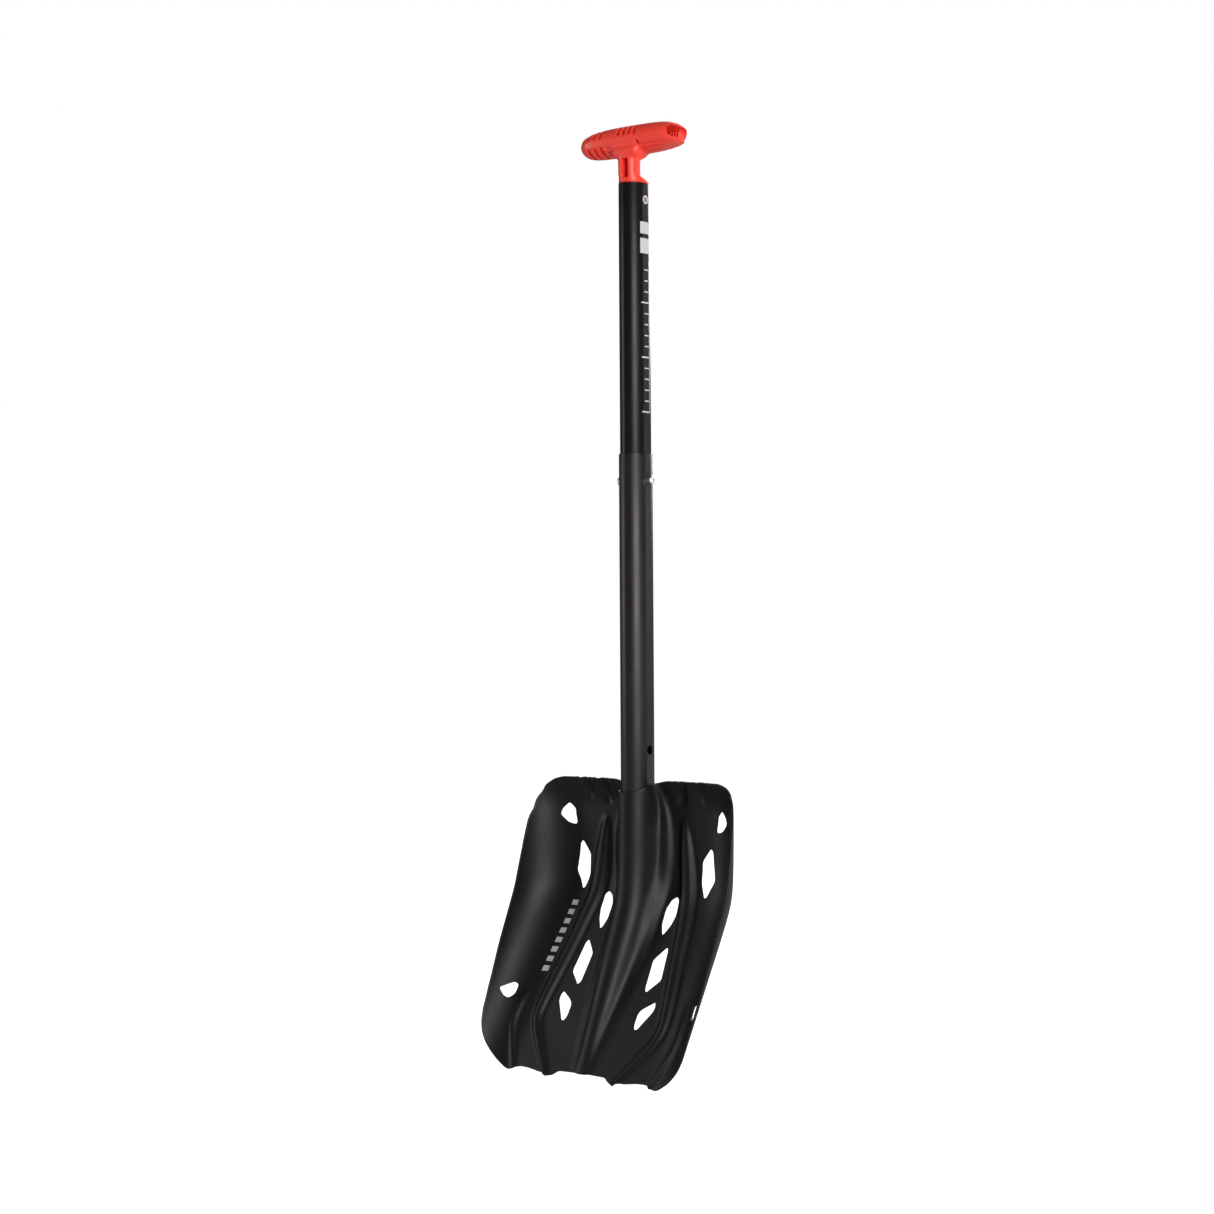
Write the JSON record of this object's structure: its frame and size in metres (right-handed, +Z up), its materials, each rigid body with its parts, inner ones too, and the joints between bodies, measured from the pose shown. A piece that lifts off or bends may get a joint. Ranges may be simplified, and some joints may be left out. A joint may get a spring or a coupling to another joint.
{
  "type": "avalanche shovel",
  "caption": "Avalanche shovel with a red T grip, a telescoping oval aluminium shaft with snap buttons and a ribbed, scooped sheet blade with cut-outs.",
  "frame": {"origin": "middle of the T grip, where a hand closes round it", "axes": "+Z up along the shaft from blade to grip, +X to the right seen from the front, -Y towards the front, the side the scoop is open to"},
  "size_m": [0.2378, 0.1176, 0.8605],
  "materials": {
    "grip": "glossy satin moulded",
    "upper_anodised": "satin black anodised",
    "lower_anodised": "satin black anodised",
    "blade_anodised": "matt black anodised",
    "raw_aluminium": "bare metal",
    "button_steel": "polished",
    "spring_steel": "spring temper",
    "plug_plastic": "moulded"
  },
  "bodies": {
    "upper_shaft": {"grip": "grip", "grip_rivet": "raw_aluminium", "upper_tube": "upper_anodised", "upper_tube_plug": "plug_plastic", "telescope_spring": "spring_steel"},
    "left_button": {"left_snap_button": "button_steel"},
    "right_button": {"right_snap_button": "button_steel"},
    "lower_shaft": {"lower_tube": "lower_anodised", "lower_tube_plug": "plug_plastic", "blade_lock_spring": "spring_steel"},
    "lock_button": {"blade_lock_button": "button_steel"},
    "blade": {"blade": "blade_anodised", "back_sleeve": "blade_anodised", "sleeve_welds": "raw_aluminium"}
  },
  "joints": [
    {"name": "telescope", "type": "slide", "parent": "upper_shaft", "child": "lower_shaft", "axis": [0, 0, 1], "range_m": [0, 0.247], "deforming": ["telescope_spring", "left_snap_button", "right_snap_button"]},
    {"name": "left_snap_press", "type": "slide", "parent": "upper_shaft", "child": "left_button", "axis": [1, 0, 0], "range_m": [0, 0.0063], "stiffness_N_per_m": 1200},
    {"name": "right_snap_press", "type": "slide", "parent": "upper_shaft", "child": "right_button", "axis": [-1, 0, 0], "range_m": [0, 0.0063], "stiffness_N_per_m": 1200},
    {"name": "blade_release", "type": "slide", "parent": "lower_shaft", "child": "blade", "axis": [0, 0, -1], "range_m": [0, 0.09], "deforming": ["blade_lock_spring", "blade_lock_button"]},
    {"name": "lock_press", "type": "slide", "parent": "lower_shaft", "child": "lock_button", "axis": [0, -1, 0], "range_m": [0, 0.0064], "stiffness_N_per_m": 1200}
  ]
}
